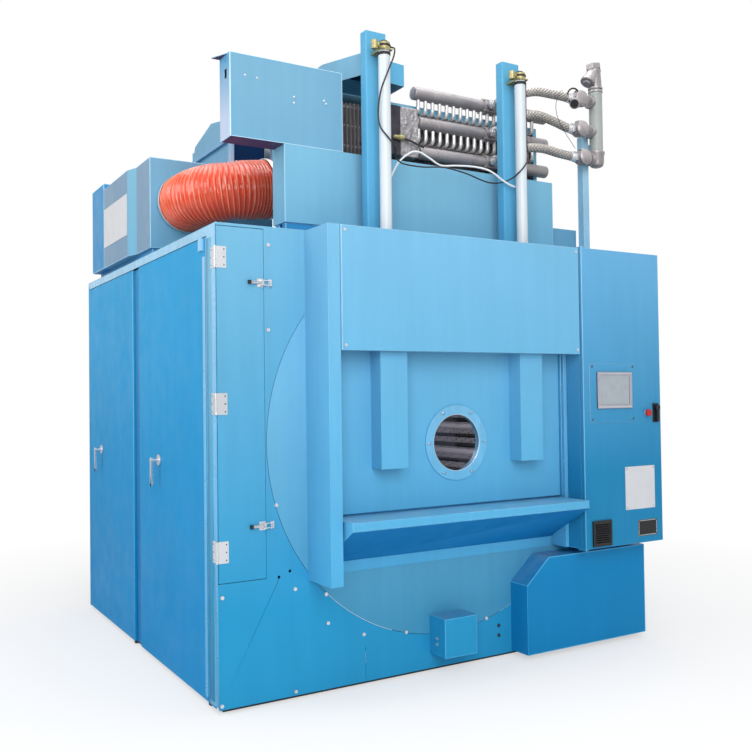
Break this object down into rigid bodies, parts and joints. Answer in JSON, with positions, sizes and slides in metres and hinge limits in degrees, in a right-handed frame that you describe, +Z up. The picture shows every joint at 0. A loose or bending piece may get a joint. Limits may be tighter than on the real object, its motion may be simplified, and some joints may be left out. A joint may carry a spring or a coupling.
{
  "type": "pass-through drying tumbler",
  "caption": "Industrial steam-heated laundry drying tumbler with a rotating drum on rollers, lift doors on air cylinders, roof heater and control cabinet.",
  "frame": {"origin": "centre of the bounding box of the whole machine, on the floor", "axes": "+Z up, front (loading side) towards -Y, +X to the right seen from the front"},
  "size_m": [2.69, 3.103, 3.4511],
  "materials": {
    "blue_paint": "semi gloss",
    "light_blue_paint": "semi gloss",
    "dark_steel": "matt",
    "steel": "brushed",
    "wheel_rubber": "matt",
    "bright_metal": "satin",
    "braided_steel": "braided",
    "brass": "satin",
    "motor_paint": "satin",
    "belt_rubber": "matt",
    "duct_fabric": "coated",
    "tube_plastic": "matt",
    "black_plastic": "satin",
    "red_plastic": "gloss",
    "window_glass": "clear"
  },
  "bodies": {
    "frame": {"base_frame": "dark_steel", "front_panel": "blue_paint", "front_ring": "blue_paint", "rear_panel": "blue_paint", "drum_casing": "steel", "side_strips": "blue_paint", "body_skins": "blue_paint", "column_covers": "light_blue_paint", "header_panel": "light_blue_paint", "sill_shelf": "light_blue_paint", "rear_covers": "light_blue_paint", "lift_posts": "light_blue_paint", "cylinder_barrels": "bright_metal", "cylinder_fittings": "brass", "front_hardware": "bright_metal", "drive_cover": "light_blue_paint", "motors": "motor_paint", "drive_belt": "belt_rubber", "bearing_blocks": "dark_steel", "cabinet_shell": "blue_paint", "cabinet_internals": "bright_metal", "plenum_box": "light_blue_paint", "duct_boxes": "light_blue_paint", "heater_box": "light_blue_paint", "coil_hood": "light_blue_paint", "heater_fins": "steel", "steam_coil": "dark_steel", "steam_hoses": "braided_steel", "steam_riser": "dark_steel", "steam_valves": "steel", "roof_stands": "dark_steel", "filter_housing": "light_blue_paint", "fan_volute": "light_blue_paint", "air_duct": "duct_fabric", "duct_clamps": "bright_metal", "air_tubes": "tube_plastic"},
    "front_door": {"front_door_panel": "blue_paint", "front_door_channels": "blue_paint", "window_ring": "steel", "window_glass": "window_glass", "front_piston_rods": "bright_metal"},
    "rear_door": {"rear_door_panel": "blue_paint", "rear_piston_rods": "bright_metal"},
    "drum": {"drum": "steel"},
    "roller_left": {"roller_left": "wheel_rubber"},
    "roller_right": {"roller_right": "steel"},
    "motor_rotor": {"motor_pulley": "steel"},
    "side_door_front": {"left_door_front": "blue_paint"},
    "side_door_rear": {"left_door_rear": "blue_paint"},
    "handle_front": {"handle_front": "black_plastic"},
    "handle_rear": {"handle_rear": "black_plastic"},
    "access_door": {"access_door": "blue_paint"},
    "latch_upper": {"latch_upper": "black_plastic"},
    "latch_lower": {"latch_lower": "black_plastic"},
    "cabinet_door": {"cabinet_door": "blue_paint", "cabinet_plates": "bright_metal", "door_fittings": "black_plastic"},
    "cabinet_lock": {"cabinet_lock": "black_plastic"},
    "red_button": {"red_button": "red_plastic"},
    "fan_wheel": {"fan_wheel": "steel"}
  },
  "joints": [
    {"name": "front_door_lift", "type": "slide", "parent": "frame", "child": "front_door", "axis": [0, 0, 1], "range_m": [0, 0.8]},
    {"name": "rear_door_lift", "type": "slide", "parent": "frame", "child": "rear_door", "axis": [0, 0, 1], "range_m": [0, 0.8]},
    {"name": "drum_spin", "type": "hinge", "parent": "frame", "child": "drum", "pos_m": [-0.02, 0, 1.22], "axis": [0, 1, 0], "continuous": true},
    {"name": "roller_left_spin", "type": "hinge", "parent": "frame", "child": "roller_left", "pos_m": [-0.62816, 0, 0.35145], "axis": [0, 1, 0], "continuous": true},
    {"name": "roller_right_spin", "type": "hinge", "parent": "frame", "child": "roller_right", "pos_m": [0.58816, 0, 0.35145], "axis": [0, 1, 0], "continuous": true},
    {"name": "motor_spin", "type": "hinge", "parent": "frame", "child": "motor_rotor", "pos_m": [1.185, -1.2375, 0.2], "axis": [0, 1, 0], "continuous": true},
    {"name": "side_door_front_hinge", "type": "hinge", "parent": "frame", "child": "side_door_front", "pos_m": [-1.283, -1.1025, 1.1], "axis": [0, 0, 1], "range_deg": [0, 90]},
    {"name": "side_door_rear_hinge", "type": "hinge", "parent": "frame", "child": "side_door_rear", "pos_m": [-1.283, 0.1445, 1.1], "axis": [0, 0, 1], "range_deg": [0, 90]},
    {"name": "handle_front_turn", "type": "hinge", "parent": "side_door_front", "child": "handle_front", "pos_m": [-1.295, -0.3675, 1.11], "axis": [1, 0, 0], "range_deg": [0, 90]},
    {"name": "handle_rear_turn", "type": "hinge", "parent": "side_door_rear", "child": "handle_rear", "pos_m": [-1.295, 0.8825, 1.11], "axis": [1, 0, 0], "range_deg": [0, 90]},
    {"name": "access_door_hinge", "type": "hinge", "parent": "frame", "child": "access_door", "pos_m": [-1.3, -1.2425, 1.413], "axis": [0, 0, 1], "range_deg": [-110, 0]},
    {"name": "latch_upper_turn", "type": "hinge", "parent": "access_door", "child": "latch_upper", "pos_m": [-1.067, -1.2515, 1.98], "axis": [0, 0, 1], "range_deg": [0, 100]},
    {"name": "latch_lower_turn", "type": "hinge", "parent": "access_door", "child": "latch_lower", "pos_m": [-1.067, -1.2515, 0.84], "axis": [0, 0, 1], "range_deg": [0, 100]},
    {"name": "cabinet_door_hinge", "type": "hinge", "parent": "frame", "child": "cabinet_door", "pos_m": [0.745, -1.4775, 1.4], "axis": [0, 0, 1], "range_deg": [-110, 0]},
    {"name": "cabinet_lock_turn", "type": "hinge", "parent": "cabinet_door", "child": "cabinet_lock", "pos_m": [1.297, -1.4875, 1.352], "axis": [0, 1, 0], "range_deg": [-90, 0]},
    {"name": "red_button_press", "type": "slide", "parent": "cabinet_door", "child": "red_button", "axis": [0, 1, 0], "range_m": [0, 0.004], "stiffness_N_per_m": 1500},
    {"name": "fan_spin", "type": "hinge", "parent": "frame", "child": "fan_wheel", "pos_m": [-0.645, 0.1925, 2.985], "axis": [1, 0, 0], "continuous": true}
  ],
  "couplings": [
    {"joint": "roller_left_spin", "follows": "drum_spin", "ratio": -8.6364},
    {"joint": "roller_right_spin", "follows": "drum_spin", "ratio": -8.6364},
    {"joint": "motor_spin", "follows": "drum_spin", "ratio": -21.983}
  ]
}
